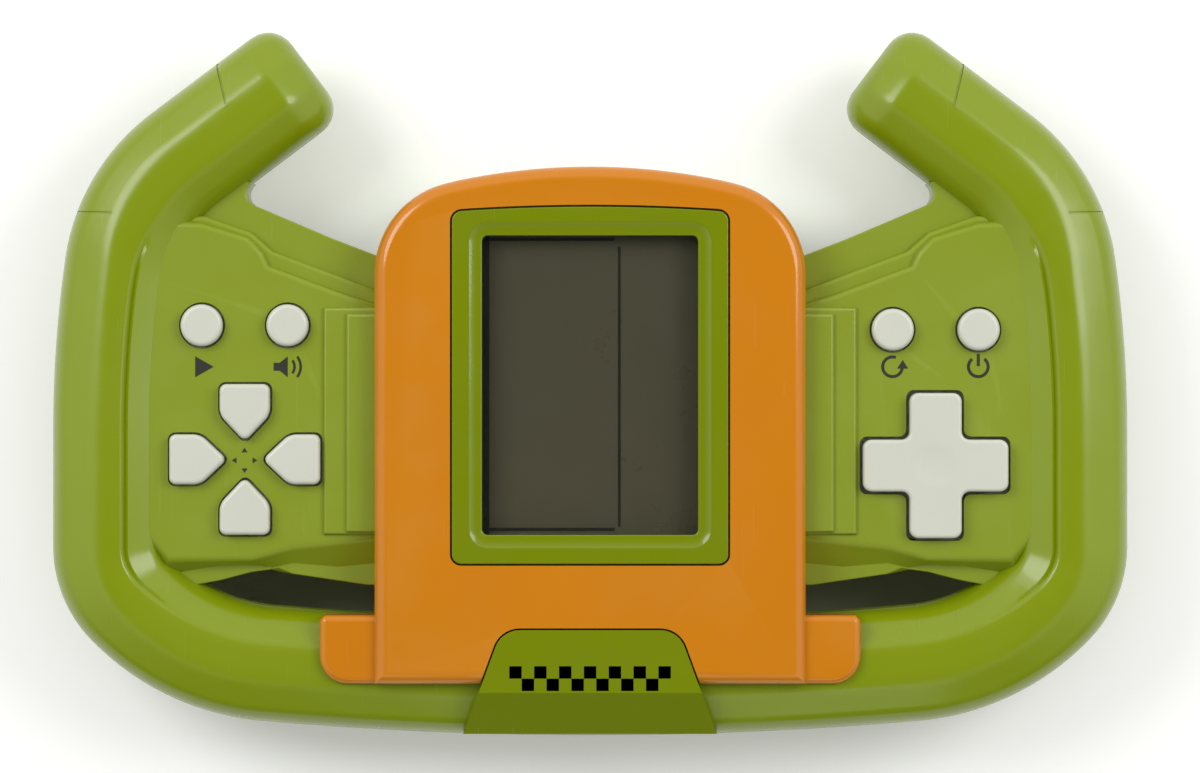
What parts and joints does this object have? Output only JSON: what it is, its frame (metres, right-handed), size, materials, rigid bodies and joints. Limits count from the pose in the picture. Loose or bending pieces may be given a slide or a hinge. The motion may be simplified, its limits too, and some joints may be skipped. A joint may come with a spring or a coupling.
{
  "type": "handheld game console",
  "caption": "Handheld block-game console shaped like an open-topped steering wheel, with a screen, round buttons, direction keys and a cross pad.",
  "frame": {"origin": "under the middle of the case, on the surface it rests on", "axes": "+Z the way the screen faces, +Y towards the top of the screen, +X to the player's right"},
  "size_m": [0.1754, 0.1149, 0.028],
  "materials": {
    "green_plastic": "glossy",
    "orange_plastic": "glossy",
    "white_plastic": "glossy",
    "clear_window": "clear, glossy",
    "display": "matte polariser",
    "rubber": "matte",
    "board": "satin",
    "black_resin": "satin",
    "ceramic_parts": "satin",
    "wire": "satin",
    "steel": "plated"
  },
  "bodies": {
    "case": {"front_shell": "green_plastic", "rear_shell": "green_plastic", "centre_panel": "orange_plastic", "screen_bezel": "green_plastic", "name_tab": "green_plastic", "screen_lens": "clear_window", "display_glass": "display", "display_connectors": "rubber", "main_board": "board", "game_chip": "black_resin", "board_parts": "ceramic_parts", "left_key_board": "board", "right_key_board": "board", "left_keypad": "rubber", "right_keypad": "rubber", "left_ribbon": "wire", "right_ribbon": "wire", "speaker": "steel", "speaker_wires": "wire", "battery_cells": "steel", "battery_springs": "steel", "battery_plates": "steel", "board_screws": "steel", "case_screws": "steel"},
    "start_button": {"start_button": "white_plastic"},
    "sound_button": {"sound_button": "white_plastic"},
    "reset_button": {"reset_button": "white_plastic"},
    "power_button": {"power_button": "white_plastic"},
    "up_key": {"up_key": "white_plastic"},
    "down_key": {"down_key": "white_plastic"},
    "left_key": {"left_key": "white_plastic"},
    "right_key": {"right_key": "white_plastic"},
    "cross_pad": {"cross_pad": "white_plastic"},
    "battery_door": {"battery_door": "green_plastic"}
  },
  "joints": [
    {"name": "start_button_press", "type": "slide", "parent": "case", "child": "start_button", "axis": [0, 0, -1], "range_m": [0, 0.001], "stiffness_N_per_m": 1000, "deforming": ["left_keypad"]},
    {"name": "sound_button_press", "type": "slide", "parent": "case", "child": "sound_button", "axis": [0, 0, -1], "range_m": [0, 0.001], "stiffness_N_per_m": 1000, "deforming": ["left_keypad"]},
    {"name": "reset_button_press", "type": "slide", "parent": "case", "child": "reset_button", "axis": [0, 0, -1], "range_m": [0, 0.001], "stiffness_N_per_m": 1000, "deforming": ["right_keypad"]},
    {"name": "power_button_press", "type": "slide", "parent": "case", "child": "power_button", "axis": [0, 0, -1], "range_m": [0, 0.001], "stiffness_N_per_m": 1000, "deforming": ["right_keypad"]},
    {"name": "up_key_press", "type": "slide", "parent": "case", "child": "up_key", "axis": [0, 0, -1], "range_m": [0, 0.001], "stiffness_N_per_m": 1000, "deforming": ["left_keypad"]},
    {"name": "down_key_press", "type": "slide", "parent": "case", "child": "down_key", "axis": [0, 0, -1], "range_m": [0, 0.001], "stiffness_N_per_m": 1000, "deforming": ["left_keypad"]},
    {"name": "left_key_press", "type": "slide", "parent": "case", "child": "left_key", "axis": [0, 0, -1], "range_m": [0, 0.001], "stiffness_N_per_m": 1000, "deforming": ["left_keypad"]},
    {"name": "right_key_press", "type": "slide", "parent": "case", "child": "right_key", "axis": [0, 0, -1], "range_m": [0, 0.001], "stiffness_N_per_m": 1000, "deforming": ["left_keypad"]},
    {"name": "cross_pad_rock", "type": "hinge", "parent": "case", "child": "cross_pad", "pos_m": [0.0559, -0.013, 0.019], "axis": [1, 0, 0], "range_deg": [-4, 4], "stiffness_Nm_per_rad": 0.14},
    {"name": "battery_door_slide", "type": "slide", "parent": "case", "child": "battery_door", "axis": [0, -1, 0], "range_m": [0, 0.038]}
  ]
}
